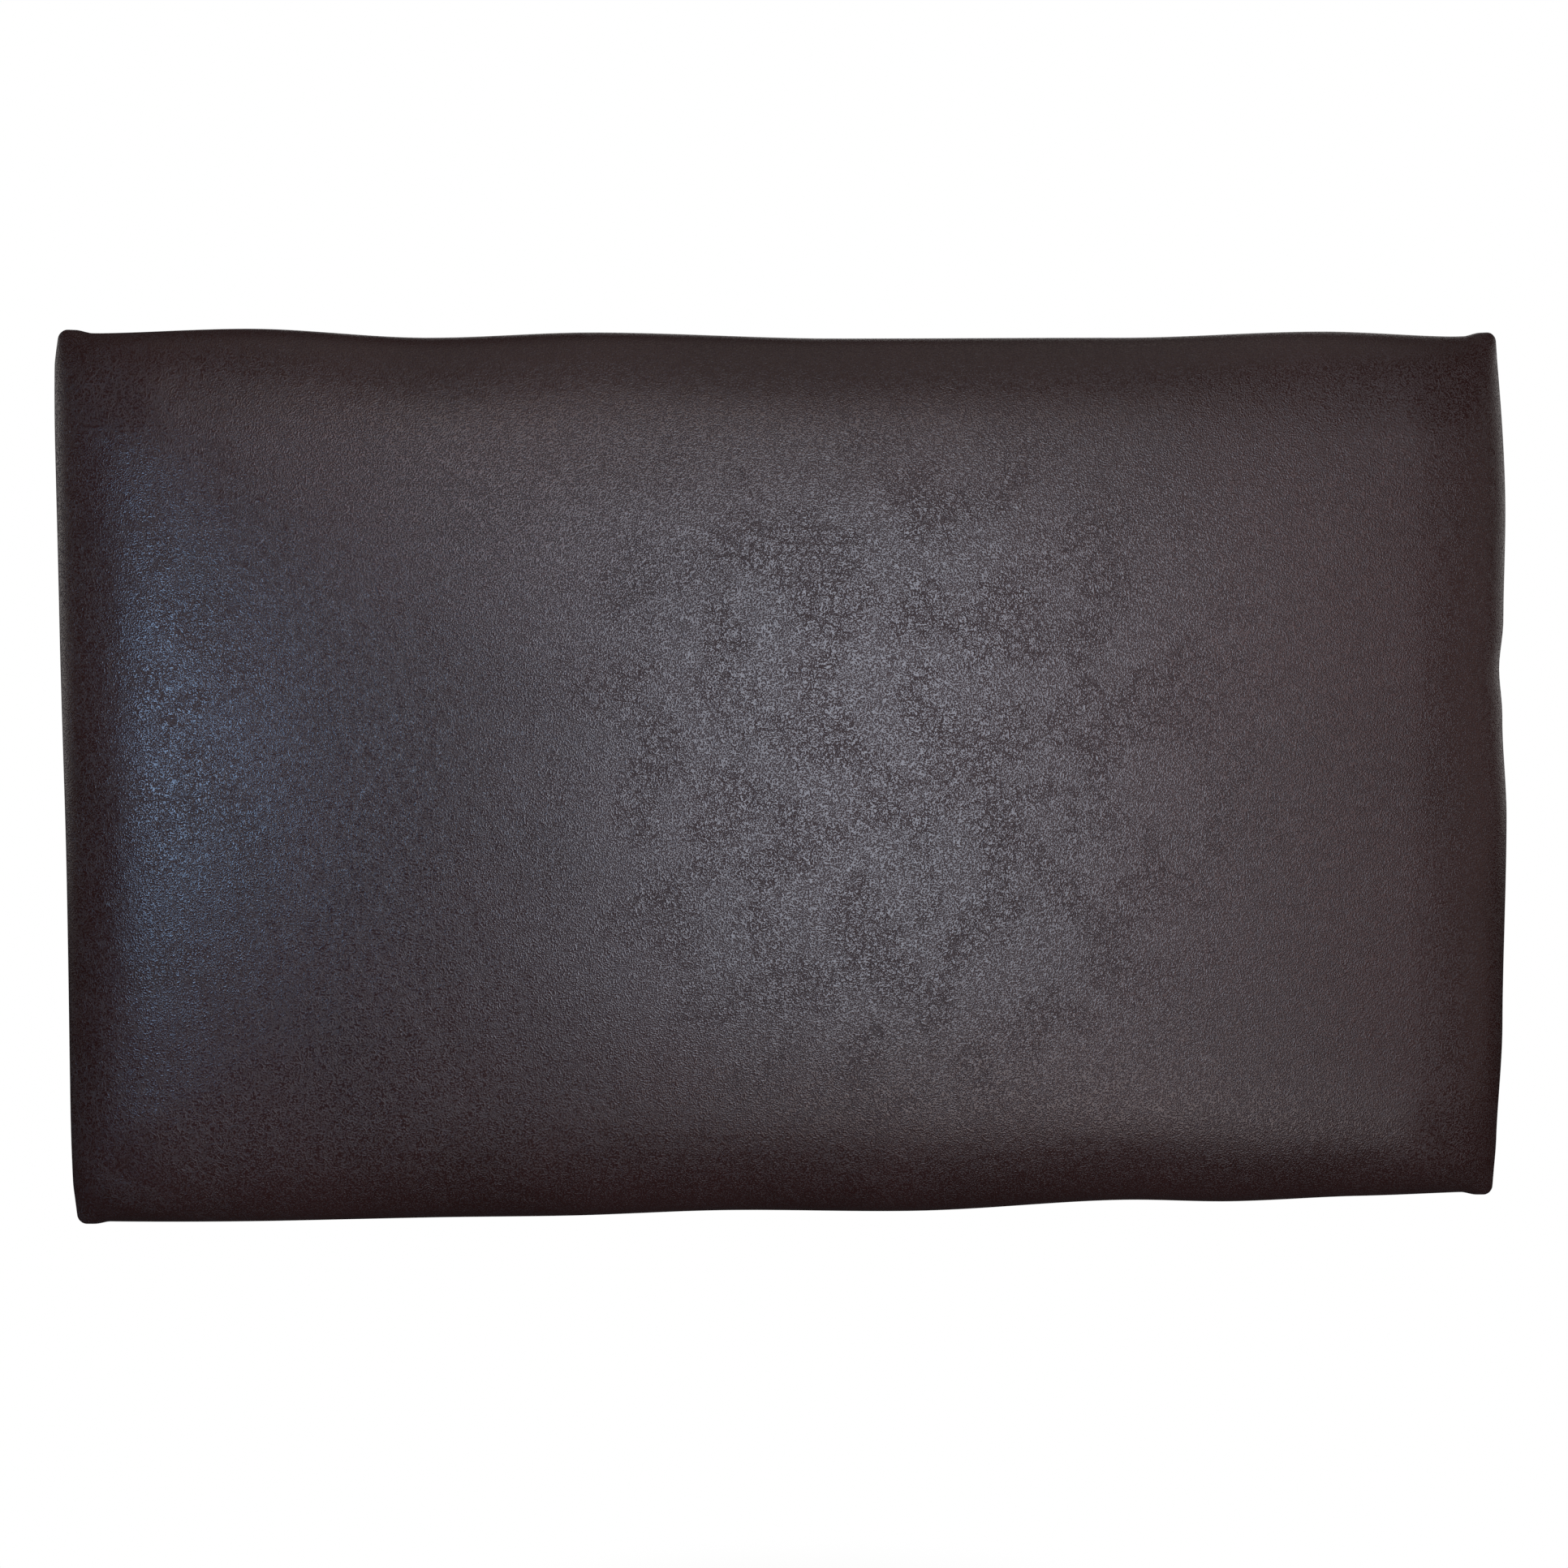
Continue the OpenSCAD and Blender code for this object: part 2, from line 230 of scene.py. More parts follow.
def rim_of(grid):
    """The grid's outer points as one loop, anticlockwise seen from the front."""
    return np.concatenate([grid[:-1, 0], grid[-1, :-1], grid[:0:-1, -1], grid[0, :0:-1]])


def scaled_rim(rim, inset):
    """The rim drawn in towards the pad's middle by a distance."""
    return rim * np.array([1 - 2 * inset / PAD_W, 1, 1 - 2 * inset / PAD_H])


def at_depth(rim, depth):
    made = rim.copy()
    made[:, 1] = -depth
    return made


def cover_loops(rim):
    """Loops that follow the rim down the sides, round the back edge and along the hem."""
    loops = []
    side_end = HEM_DEPTH + BACK_EDGE_R
    for t in np.linspace(0, 1, SIDE_CELLS + 1)[1:]:
        loops.append(at_depth(rim, ROLL_DEPTH + (side_end - ROLL_DEPTH) * t))
    for a in np.linspace(0, math.pi / 2, EDGE_CELLS + 1)[1:]:
        inset = BACK_EDGE_R * (1 - math.cos(a))
        loops.append(at_depth(scaled_rim(rim, inset), side_end - BACK_EDGE_R * math.sin(a)))
    for inset in np.linspace(BACK_EDGE_R, HEM_WIDTH, HEM_CELLS + 1)[1:]:
        loops.append(at_depth(scaled_rim(rim, inset), HEM_DEPTH))
    return np.array(loops)


def grid_quads(index):
    """Quads of a grid of vertex numbers, with normals out of the face."""
    return np.stack([index[:-1, :-1], index[1:, :-1], index[1:, 1:], index[:-1, 1:]], -1).reshape(-1, 4)


def band_quads(loop, next_loop):
    """Quads between two closed loops of vertex numbers, the second behind the first."""
    quads = [loop, next_loop, np.roll(next_loop, -1), np.roll(loop, -1)]
    return np.stack(quads, -1)


def new_piece(name, points, faces):
    mesh = bpy.data.meshes.new(name)
    mesh.from_pydata(np.asarray(points, float).tolist(), [], np.asarray(faces).tolist())
    mesh.update()
    mesh.shade_smooth()
    made = bpy.data.objects.new(name, mesh)
    bpy.context.collection.objects.link(made)
    return made


# ---- Staples and folds of the cover ------------------------------------------------------------

FOLD_T = 1.1 * MM
FOLD_REACH = 5 * MM
STAPLE_DENT = 0.4 * MM
STAPLE_DENT_R = 7 * MM
STAPLE_PULL = 0.35 * MM
STAPLE_PULL_R = 9 * MM
# A staple pulls only the leather that is nearer than this, so that it leaves the other sides alone.
STAPLE_REACH = 50 * MM
HEM_PUFF = 0.9 * MM
HEM_SLIP = 1.4 * MM
HEM_SLIP_LENGTH = 45 * MM


def part_centres(node):
    """The middle of each separate solid in a node."""
    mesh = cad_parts[node].data
    co = np.array([v.co[:] for v in mesh.vertices])
    _, same = np.unique(np.round(co, 5), axis=0, return_inverse=True)
    label = same.ravel().copy()
    edges = np.array([e.vertices[:] for e in mesh.edges])
    start, end = label[edges[:, 0]], label[edges[:, 1]]
    tag = np.arange(label.max() + 1)
    while True:
        lowest = np.minimum(tag[start], tag[end])
        was = tag.copy()
        np.minimum.at(tag, start, lowest)
        np.minimum.at(tag, end, lowest)
        if np.array_equal(was, tag):
            break
    tag = tag[label]
    lows = np.array([co[tag == t].min(axis=0) for t in np.unique(tag)])
    highs = np.array([co[tag == t].max(axis=0) for t in np.unique(tag)])
    return (lows + highs) / 2


staples = part_centres("cover_staples")


def pulled_by_staples(points):
    """Dents where a staple pulls the leather, and the looser leather between two staples."""
    x, y, z = points.T
    depth = -y
    inset_x, inset_z = PAD_W / 2 - np.abs(x), PAD_H / 2 - np.abs(z)
    across = np.minimum(inset_x, inset_z)
    on_hem = smooth(depth, HEM_DEPTH + 2 * MM, HEM_DEPTH + 0.5 * MM)
    on_side = smooth(depth, FOAM_DEPTH, HEM_DEPTH + 3 * MM) * smooth(across, 6 * MM, 3 * MM)
    near = np.zeros(len(x))
    dent = np.zeros(len(x))
    for sx, _, sz in staples:
        off = np.where(inset_z < inset_x, x - sx, z - sz)
        same_side = (np.abs(x - sx) < STAPLE_REACH) & (np.abs(z - sz) < STAPLE_REACH)
        near = np.maximum(near, np.exp(-((off / STAPLE_PULL_R) ** 2)) * same_side)
        dent = np.maximum(dent, np.exp(-((x - sx) ** 2 + (z - sz) ** 2) / STAPLE_DENT_R**2))
    puff = (1 - near) * smooth(across, 6 * MM, HEM_WIDTH) * HEM_PUFF
    depth = depth - on_hem * puff + on_hem * dent * STAPLE_DENT
    pull = on_side * (near - 0.4) * STAPLE_PULL
    toward_x = np.where(inset_x < inset_z, np.sign(x), 0)
    toward_z = np.where(inset_x < inset_z, 0, np.sign(z))
    return np.stack([x - toward_x * pull, -depth, z - toward_z * pull], axis=-1)


def folded_corners(points):
    """The tucked fold at each corner: a second ply on the top and bottom sides and on the hem there."""
    x, y, z = points.T
    depth = -y
    inset_x, inset_z = PAD_W / 2 - np.abs(x), PAD_H / 2 - np.abs(z)
    reach = FOLD_REACH + 0.2 * (ROLL_DEPTH + 10 * MM - depth)
    blur = 1.5 * MM + 6 * MM * smooth(depth, FOAM_DEPTH - 12 * MM, ROLL_DEPTH)
    ply = smooth(inset_x, reach + blur, reach) * smooth(depth, ROLL_DEPTH + 22 * MM, ROLL_DEPTH)
    on_side = smooth(inset_z, 12 * MM, 3 * MM)
    z = z + np.sign(z) * FOLD_T * ply * on_side
    on_hem = smooth(depth, HEM_DEPTH + 2 * MM, HEM_DEPTH + 0.5 * MM)
    mitre = smooth(inset_x - inset_z, -0.6 * MM, 0.9 * MM) * smooth(inset_x, 48 * MM, 34 * MM)
    depth = depth - COVER_T * on_hem * mitre
    return np.stack([x, -depth, z], axis=-1)


def hand_cut_hem(points):
    """Makes the hem's cut edge a little uneven."""
    x, y, z = points.T
    inset = np.minimum(PAD_W / 2 - np.abs(x), PAD_H / 2 - np.abs(z))
    on_hem = smooth(-y, HEM_DEPTH + 2 * MM, HEM_DEPTH + 0.5 * MM)
    slip = HEM_SLIP * rough(points, HEM_SLIP_LENGTH, 2) * smooth(inset, 8 * MM, HEM_WIDTH) * on_hem
    shift = 1 + slip / (PAD_H / 2)
    return np.stack([x * shift, y, z * shift], axis=-1)


def uneven_face(points):
    """Shallow swells over the face, as hand-laid wadding leaves."""
    x, y, z = points.T
    on_face = smooth(-y, ROLL_DEPTH, ROLL_DEPTH + ROLL_RISE)
    wide_swell = 0.3 * MM * rough(points, 85 * MM, 5)
    small_swell = 0.12 * MM * rough(points, 30 * MM, 6)
    return np.stack([x, y - (wide_swell + small_swell) * on_face, z], axis=-1)


# The simulation moves every second point of the face's grid, and the points between follow.
SETTLE_STEP = 2
SETTLE_FRAMES = 20
# How far under its place the leather starts, and the furthest it may end inside or outside that place.
SETTLE_START = 2.0 * MM
SETTLE_IN, SETTLE_OUT = 1.8 * MM, 1.0 * MM


def pressed_out(points, faces, held):
    """Where a leather sheet's points come to rest when the filling presses it out and its rim is held."""
    sheet = new_piece("settling_leather", points, faces)
    group = sheet.vertex_groups.new(name="held")
    group.add(held.tolist(), 1.0, "REPLACE")
    cloth = sheet.modifiers.new("cloth", "CLOTH")
    cloth.point_cache.frame_end = SETTLE_FRAMES
    cloth.collision_settings.use_collision = False
    leather_sheet = cloth.settings
    leather_sheet.quality = 6
    leather_sheet.mass = 0.3
    leather_sheet.tension_stiffness = 30
    leather_sheet.compression_stiffness = 30
    leather_sheet.shear_stiffness = 10
    leather_sheet.bending_stiffness = 8
    leather_sheet.use_pressure = True
    leather_sheet.uniform_pressure_force = 0.6
    leather_sheet.air_damping = 10
    leather_sheet.effector_weights.gravity = 0
    leather_sheet.vertex_group_mass = group.name
    for frame_number in range(1, SETTLE_FRAMES + 1):
        bpy.context.scene.frame_set(frame_number)
    settled = sheet.evaluated_get(bpy.context.evaluated_depsgraph_get()).data
    rest = np.array([v.co[:] for v in settled.vertices])
    bpy.data.meshes.remove(sheet.data)
    bpy.context.scene.frame_set(1)
    return rest


def between_points(rows):
    """The rows with a row halfway put in between each two."""
    full = np.zeros((2 * len(rows) - 1,) + rows.shape[1:])
    full[::2] = rows
    full[1::2] = (rows[:-1] + rows[1:]) / 2
    return full


def settled_face(face):
    """The face's grid of points after the leather has settled over the filling."""
    coarse = face[::SETTLE_STEP, ::SETTLE_STEP]
    index = np.arange(coarse.shape[0] * coarse.shape[1]).reshape(coarse.shape[:2])
    low = coarse.copy()
    off_rim = np.minimum(PAD_W / 2 - np.abs(low[..., 0]), PAD_H / 2 - np.abs(low[..., 2]))
    low[..., 1] += SETTLE_START * smooth(off_rim, 0, ROLL_WIDTH)
    rest = pressed_out(low.reshape(-1, 3), grid_quads(index), rim_of(index))
    move = rest.reshape(coarse.shape) - coarse
    length = np.linalg.norm(move, axis=-1, keepdims=True)
    cap = np.where(move[..., 1:2] > 0, SETTLE_IN, SETTLE_OUT)
    move *= cap * np.tanh(length / cap) / np.maximum(length, 1e-9)
    return face + between_points(between_points(move).swapaxes(0, 1)).swapaxes(0, 1)


def blend_when_struck(piece):
    """Bakes the piece's placement into its mesh.
    """
    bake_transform(piece)


def give_thickness(cover):
    """Makes the leather's outer skin a sheet of its real thickness, with cloth on the inside."""
    ply = cover.modifiers.new("thickness", "SOLIDIFY")
    ply.thickness = COVER_T
    ply.offset = -1
    ply.material_offset = 1
    ply.material_offset_rim = 1
    bpy.context.view_layer.objects.active = cover
    cover.select_set(True)
    bpy.ops.object.modifier_apply(modifier=ply.name)
    cover.select_set(False)


def build_cover():
    """The faux leather, one sheet over the face, the sides and the hem."""
    grid = face_grid(FACE_CELLS_X, FACE_CELLS_Z)
    loops = cover_loops(rim_of(grid))
    points = np.concatenate([grid.reshape(-1, 3), loops.reshape(-1, 3)])
    points = uneven_face(with_waves(points))
    index = np.arange(grid.shape[0] * grid.shape[1]).reshape(grid.shape[:2])
    face = points[: index.size].reshape(grid.shape)
    points[: index.size] = settled_face(face).reshape(-1, 3)
    for shaped in (hand_cut_hem, folded_corners, pulled_by_staples):
        points = shaped(points)
    faces = [grid_quads(index)]
    loop = rim_of(index)
    for k in range(len(loops)):
        next_loop = index.size + k * len(loop) + np.arange(len(loop))
        faces.append(band_quads(loop, next_loop))
        loop = next_loop
    cover = new_piece("pad_cover", points, np.concatenate(faces))
    cover.data.materials.append(leather())
    cover.data.materials.append(leather_backing())
    give_thickness(cover)
    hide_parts("cover")
    blend_when_struck(cover)


# ---- Soft filling ------------------------------------------------------------------------------


def build_filling(name, front, back, node, material, slot):
    """A closed soft piece between a front grid and a back grid of the same shape."""
    points = np.concatenate([front.reshape(-1, 3), back.reshape(-1, 3)])
    index = np.arange(front.shape[0] * front.shape[1]).reshape(front.shape[:2])
    back_index = index + index.size
    faces = [
        grid_quads(index),
        band_quads(rim_of(index), rim_of(back_index)),
        grid_quads(back_index)[:, ::-1],
    ]
    piece = new_piece(name, points, np.concatenate(faces))
    piece.data.materials.append(material)
    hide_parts(node)
    return piece


def build_strike_foam():
    """The soft foam, up to the wadding in the middle and to the cover's rolled edges round it."""
    front = with_waves(face_grid(110, 74, FILLING_INSET))
    top = WADDING_DEPTH - 3 * LAYER_GAP
    front[..., 1] = -np.minimum(-front[..., 1], top)
    back = front.copy()
    back[..., 1] = -(FOAM_DEPTH + LAYER_GAP)
    foam = build_filling("strike_foam_block", front, back, "strike_foam", soft_foam(), "soft_foam")
    blend_when_struck(foam)


def build_wadding():
    """The soft layer under the middle of the face, as far out as the face is higher than the strike foam."""
    grid = face_grid(150, 96, FILLING_INSET)
    mid_x, mid_z = grid.shape[0] // 2, grid.shape[1] // 2
    high = -grid[..., 1] > WADDING_DEPTH + 0.4 * MM
    half_w = grid[high[:, mid_z], mid_z, 0].max()
    half_h = grid[mid_x, high[mid_x], 2].max()
    x, z = np.meshgrid(np.linspace(-half_w, half_w, 121), np.linspace(-half_h, half_h, 81), indexing="ij")
    x, z = rounded_outline(x, z, half_w, half_h, WADDING_CORNER_R)
    depth = np.maximum(face_depth(x, z, FILLING_INSET), WADDING_DEPTH + 0.35 * MM)
    front = np.stack([x, -depth, z], axis=-1)
    back = front.copy()
    back[..., 1] = -(WADDING_DEPTH + LAYER_GAP)
    wadding = build_filling("wadding_layer", front, back, "face_wadding", wadding_fibre(), "wadding")
    blend_when_struck(wadding)


def build_edge_strip(node):
    """A soft strip with rounded edges, pressed a little thinner where the leather is tightest."""
    low, high = (np.array(c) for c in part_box(node))
    upright = high[2] - low[2] > high[0] - low[0]
    long_axis, thin_axis = (2, 0) if upright else (0, 2)
    along, up = np.meshgrid(
        np.linspace(low[long_axis], high[long_axis], 81),
        np.linspace(low[1], high[1], 9),
        indexing="ij",
    )
    middle = (low[thin_axis] + high[thin_axis]) / 2
    half = (high[thin_axis] - low[thin_axis]) / 2
    to_end = np.minimum(along - low[long_axis], high[long_axis] - along)
    to_side = np.minimum(up - low[1], high[1] - up)
    full = 0.45 + 0.5 * smooth(np.minimum(to_end, to_side), 0, 3 * MM)
    grids = []
    for side in (1, -1):
        grid = np.zeros(along.shape + (3,))
        grid[..., long_axis] = along
        grid[..., 1] = up
        grid[..., thin_axis] = middle + side * half * full
        if side * middle > 0:
            grid = with_waves(grid)
            outer = side * grid[..., thin_axis]
            grid[..., thin_axis] = side * np.maximum(outer - 0.5 * MM, side * middle - 0.9 * half)
        grids.append(grid)
    if upright:
        grids.reverse()
    strip = build_filling(node + "_soft", *grids, node, strip_foam(), "strip_foam")
    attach(strip, "pad")


# ---- Materials ---------------------------------------------------------------------------------


class Shader:
    """A material's node tree, built with short calls."""

    def __init__(self, name):
        self.material = bpy.data.materials.new(name)
        self.material.use_nodes = True
        self.tree = self.material.node_tree
        self.surface = self.tree.nodes["Principled BSDF"]
        self.where = self.add("TexCoord").outputs["Object"]

    def add(self, kind, settings=None, **inputs):
        """A new node. An input is named by its socket, with _ for a space, or by its place as in_0, in_1."""
        made = self.tree.nodes.new("ShaderNode" + kind)
        for key, value in (settings or {}).items():
            setattr(made, key, value)
        self.put(made, **inputs)
        return made

    def put(self, node, **inputs):
        for key, value in inputs.items():
            name = int(key[3:]) if key.startswith("in_") else key.replace("_", " ")
            if isinstance(value, bpy.types.NodeSocket):
                self.tree.links.new(value, node.inputs[name])
            else:
                node.inputs[name].default_value = value

    def math(self, operation, a, b=0.0):
        return self.add("Math", {"operation": operation}, in_0=a, in_1=b).outputs[0]

    def vector(self, operation, a, b):
        return self.add("VectorMath", {"operation": operation}, in_0=a, in_1=b).outputs[0]

    def between(self, value, low, high, to_low=0.0, to_high=1.0):
        """A value from low to high brought to to_low to to_high, with soft ends."""
        settings = {"interpolation_type": "SMOOTHSTEP"}
        return self.add(
            "MapRange", settings, in_0=value, in_1=low, in_2=high, in_3=to_low, in_4=to_high
        ).outputs[0]

    def mixed(self, share, a, b):
        """Value a where share is 0 and b where it is 1."""
        return self.add("Mix", in_0=share, in_2=a, in_3=b).outputs[0]

    def blend(self, share, a, b):
        """Colour a where share is 0 and b where it is 1."""
        return self.add("Mix", {"data_type": "RGBA"}, in_0=share, in_6=a, in_7=b).outputs[2]

    def noise(self, where, scale, detail=2.0, roughness=0.5):
        return self.add(
            "TexNoise", Vector=where, Scale=scale, Detail=detail, Roughness=roughness
        ).outputs[0]

    def cells(self, where, scale, feature="DISTANCE_TO_EDGE"):
        return self.add("TexVoronoi", {"feature": feature}, Vector=where, Scale=scale).outputs[0]

    def bent(self, where, scale, amount):
        """Coordinates pushed about by noise, so that a pattern on them runs in changing directions."""
        push = self.add("TexNoise", Vector=where, Scale=scale, Detail=1.0).outputs[1]
        centred = self.vector("SUBTRACT", push, (0.5, 0.5, 0.5))
        return self.vector("ADD", where, self.vector("MULTIPLY", centred, (amount,) * 3))

    def stretched(self, *shares):
        """Coordinates scaled along each axis, for grain that runs one way."""
        return self.vector("MULTIPLY", self.where, shares)

    def bump(self, height, distance):
        return self.add("Bump", Strength=1.0, Distance=distance, Height=height).outputs[0]

    def finish(self, **inputs):
        self.put(self.surface, **inputs)
        return self.material


def rgb(r, g, b):
    return (r, g, b, 1.0)


# Creases are drawn in full only where the photograph shows them, which is where it shows its two highlights:
# round a place near the middle and along the left side. How creased the leather is elsewhere is a guess.
CREASED_AT = (40 * MM, 0.0, 0.0)
# Full within the first distance of CREASED_AT, and faint past the second.
CREASED_WITHIN = (90 * MM, 180 * MM)
# Full left of the first place along the pad, and faint right of the second.
LEFT_WITHIN = (-250 * MM, -190 * MM)
FAINT_SHARE = 0.25


def seen_share(s):
    """1 where the photograph shows creases, down to FAINT_SHARE."""
    off = s.vector("MULTIPLY", s.vector("SUBTRACT", s.where, CREASED_AT), (1.0, 0.0, 1.0))
    away = s.add("VectorMath", {"operation": "LENGTH"}, in_0=off).outputs["Value"]
    near_middle = s.between(away, *CREASED_WITHIN, 1.0, FAINT_SHARE)
    across = s.add("SeparateXYZ", in_0=s.where).outputs[0]
    at_left = s.between(across, *LEFT_WITHIN, 1.0, FAINT_SHARE)
    return s.math("MAXIMUM", near_middle, at_left)


def leather():
    """Fine winding pebbles with crevices between them, deepest along a broken net of creases; the crevices
    and creases also carry painted shade in the base colour.
    """
    s = Shader("faux_leather")
    worms = s.noise(s.bent(s.where, 150.0, 0.0028), 1850.0, 0.0)
    crevices = s.between(worms, 0.33, 0.53, 1.0, 0.0)
    net = s.cells(s.bent(s.where, 230.0, 0.006), 170.0)
    patches = s.noise(s.bent(s.where, 20.0, 0.03), 42.0, 2.0, 0.5)
    creased = s.math("MULTIPLY", s.between(patches, 0.40, 0.58), seen_share(s))
    near_crease = s.math("MULTIPLY", s.between(net, 0.0, 0.22, 1.0, 0.0), creased)
    deep = s.math("ADD", near_crease, s.math("MULTIPLY", creased, 0.35))
    shallow = s.between(deep, 0.0, 1.0, 0.52, 0.24)
    grain = s.mixed(shallow, crevices, 0.34)
    crease = s.math("MULTIPLY", s.between(net, 0.0, 0.045, 0.75, 0.0), creased)
    sunk = s.math("MAXIMUM", grain, crease)

    cloudy = s.noise(s.where, 9.0, 3.0, 0.55)
    base = s.blend(s.between(cloudy, 0.35, 0.65), rgb(0.0215, 0.0066, 0.0052), rgb(0.0285, 0.0095, 0.0080))
    # The crevices and creases are darkened in the base colour: painted shade.
    base = s.blend(s.math("MULTIPLY", sunk, 0.3), base, rgb(0.0030, 0.0015, 0.0015))
    return s.finish(
        Base_Color=base,
        Roughness=s.between(sunk, 0.0, 1.0, 0.17, 0.80),
        Normal=s.bump(s.math("SUBTRACT", worms, sunk), 0.00011),
        Specular_IOR_Level=0.8,
    )


def leather_backing():
    """The knitted cloth on the back of the faux leather, with painted shade between its loops."""
    s = Shader("leather_backing")
    loops = s.cells(s.stretched(1.0, 1.0, 0.6), 1500.0, "F1")
    fluff = s.noise(s.where, 700.0, 3.0, 0.6)
    base = s.blend(s.between(fluff, 0.3, 0.7), rgb(0.22, 0.19, 0.17), rgb(0.36, 0.33, 0.30))
    # The base colour is darker between the knit loops: painted shade.
    return s.finish(
        Base_Color=s.blend(s.between(loops, 0.1, 0.6, 0.0, 0.5), base, rgb(0.10, 0.08, 0.07)),
        Roughness=s.between(fluff, 0.3, 0.7, 0.85, 0.98),
        Normal=s.bump(loops, 0.0002),
    )


def plywood():
    """Birch face veneer, its grain along the board."""
    s = Shader("plywood")
    growth = s.noise(s.stretched(1.1, 1.0, 7.0), 2.6, 2.0, 0.45)
    rings = s.math("SINE", s.math("MULTIPLY", growth, 95.0))
    streaks = s.noise(s.stretched(1.0, 1.0, 40.0), 12.0, 5.0, 0.6)
    pores = s.between(s.noise(s.stretched(1.0, 1.0, 22.0), 90.0, 2.0), 0.62, 0.74)
    base = s.blend(s.between(streaks, 0.3, 0.7), rgb(0.47, 0.31, 0.17), rgb(0.60, 0.43, 0.26))
    base = s.blend(s.between(rings, 0.2, 1.0, 0.0, 0.45), base, rgb(0.38, 0.22, 0.11))
    base = s.blend(s.math("MULTIPLY", pores, 0.6), base, rgb(0.22, 0.12, 0.06))
    height = s.math("SUBTRACT", s.math("MULTIPLY", streaks, 0.4), pores)
    return s.finish(
        Base_Color=base,
        Roughness=s.between(streaks, 0.3, 0.7, 0.55, 0.72),
        Normal=s.bump(height, 0.00008),
    )


def cellular_foam(name, dark, light, cell, bump):
    """Open or closed cells of one size, in two tones, with painted shade in the cell hollows."""
    s = Shader(name)
    holes = s.cells(s.where, 1 / cell, "F1")
    tone = s.noise(s.where, 40.0, 3.0)
    base = s.blend(s.between(tone, 0.3, 0.7), rgb(*dark), rgb(*light))
    # The cell hollows are darkened in the base colour: painted shade.
    painted_pit_shade = tuple(0.4 * c for c in dark)
    return s.finish(
        Base_Color=s.blend(s.between(holes, 0.1, 0.55, 0.7, 0.0), base, rgb(*painted_pit_shade)),
        Roughness=s.between(tone, 0.3, 0.7, 0.88, 0.98),
        Normal=s.bump(holes, bump),
    )


def firm_foam():
    return cellular_foam("firm_foam", (0.030, 0.030, 0.034), (0.045, 0.045, 0.050), 0.0004, 0.0001)


def soft_foam():
    return cellular_foam("soft_foam", (0.62, 0.52, 0.27), (0.76, 0.67, 0.40), 0.0012, 0.0004)


def strip_foam():
    return cellular_foam("strip_foam", (0.17, 0.17, 0.18), (0.25, 0.25, 0.26), 0.0008, 0.0002)


def wadding_fibre():
    """Polyester fibres, lying all ways in tufts."""
    s = Shader("wadding")
    tufts = s.noise(s.where, 60.0, 3.0, 0.6)
    fibres = s.noise(s.vector("MULTIPLY", s.bent(s.where, 40.0, 0.03), (1.0, 1.0, 9.0)), 260.0, 3.0)
    base = s.blend(s.between(tufts, 0.3, 0.7), rgb(0.72, 0.71, 0.69), rgb(0.87, 0.87, 0.85))
    return s.finish(
        Base_Color=s.blend(s.between(fibres, 0.4, 0.7, 0.0, 0.3), base, rgb(0.55, 0.54, 0.53)),
        Roughness=s.between(fibres, 0.3, 0.7, 0.85, 0.97),
        Normal=s.bump(s.math("ADD", fibres, tufts), 0.0008),
        Sheen_Weight=0.3,
    )


def extruded_aluminium():
    """Mill finish with fine die lines along the rail and a few faint handling marks."""
    s = Shader("rail_aluminium")
    die_lines = s.noise(s.stretched(1.0, 320.0, 320.0), 9.0, 3.0, 0.6)
    marks = s.between(s.noise(s.bent(s.where, 60.0, 0.02), 420.0, 2.0), 0.6, 0.72)
    dull = s.noise(s.where, 14.0, 2.0)
    base = s.blend(s.between(die_lines, 0.3, 0.7), rgb(0.50, 0.51, 0.53), rgb(0.60, 0.61, 0.62))
    base = s.blend(s.math("MULTIPLY", marks, 0.25), base, rgb(0.36, 0.37, 0.39))
    rough = s.math("ADD", s.between(dull, 0.3, 0.7, 0.30, 0.38), s.math("MULTIPLY", marks, 0.06))
    return s.finish(
        Base_Color=base,
        Metallic=1.0,
        Roughness=rough,
        Normal=s.bump(die_lines, 0.00003),
    )


def zinc_steel():
    """Zinc plating with the faint blue and yellow of its passivation."""
    s = Shader("zinc_steel")
    tint = s.noise(s.where, 110.0, 2.0)
    grain = s.noise(s.where, 2600.0, 2.0, 0.6)
    base = s.blend(s.between(tint, 0.38, 0.62), rgb(0.50, 0.54, 0.62), rgb(0.66, 0.63, 0.52))
    return s.finish(
        Base_Color=base,
        Metallic=1.0,
        Roughness=s.between(grain, 0.3, 0.7, 0.28, 0.44),
        Normal=s.bump(grain, 0.00002),
    )


def staple_steel():
    s = Shader("staple_steel")
    drawn = s.noise(s.where, 1900.0, 2.0, 0.6)
    dull = s.noise(s.where, 160.0, 2.0)
    base = s.blend(s.between(dull, 0.35, 0.65), rgb(0.48, 0.48, 0.48), rgb(0.74, 0.74, 0.73))
    return s.finish(
        Base_Color=base,
        Metallic=1.0,
        Roughness=s.between(drawn, 0.3, 0.7, 0.22, 0.4),
        Normal=s.bump(drawn, 0.00002),
    )


def bumper_rubber():
    """Moulded black rubber with a fine texture and some pale dust."""
    s = Shader("bumper_rubber")
    texture = s.noise(s.where, 1500.0, 3.0, 0.6)
    dust = s.noise(s.where, 130.0, 4.0, 0.65)
    base = s.blend(s.between(dust, 0.5, 0.75, 0.0, 0.5), rgb(0.016, 0.016, 0.017), rgb(0.075, 0.072, 0.068))
    return s.finish(
        Base_Color=base,
        Roughness=s.between(dust, 0.4, 0.7, 0.55, 0.8),
        Normal=s.bump(texture, 0.00006),
    )


